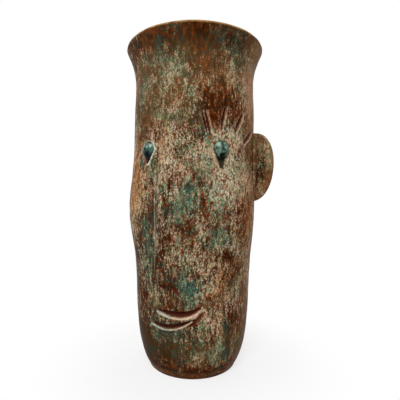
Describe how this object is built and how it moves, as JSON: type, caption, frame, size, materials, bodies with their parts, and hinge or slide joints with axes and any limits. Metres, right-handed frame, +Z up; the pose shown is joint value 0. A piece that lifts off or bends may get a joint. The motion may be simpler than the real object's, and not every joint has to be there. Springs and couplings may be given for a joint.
{
  "type": "face vase",
  "caption": "Tall glazed stoneware vase with a flared mouth, its wall modelled as a face with luted nose, lip, eyes and ears.",
  "frame": {"origin": "centre of the base slab's standing face", "axes": "+Z up along the thrown axis, the face looks along -Y, +X is to the right of someone looking at the face"},
  "size_m": [0.1494, 0.131, 0.3],
  "materials": {
    "body_glaze": "satin glaze mottled in rust brown, cream and grey green",
    "foot_glaze": "thin satin red-brown glaze",
    "eye_glaze": "pooled gloss turquoise glaze"
  },
  "bodies": {
    "root": {"vase_wall": "body_glaze", "base_slab": "foot_glaze", "nose": "body_glaze", "lower_lip": "body_glaze", "left_ear": "body_glaze", "right_ear": "body_glaze", "left_eye": "eye_glaze", "right_eye": "eye_glaze"}
  },
  "joints": []
}
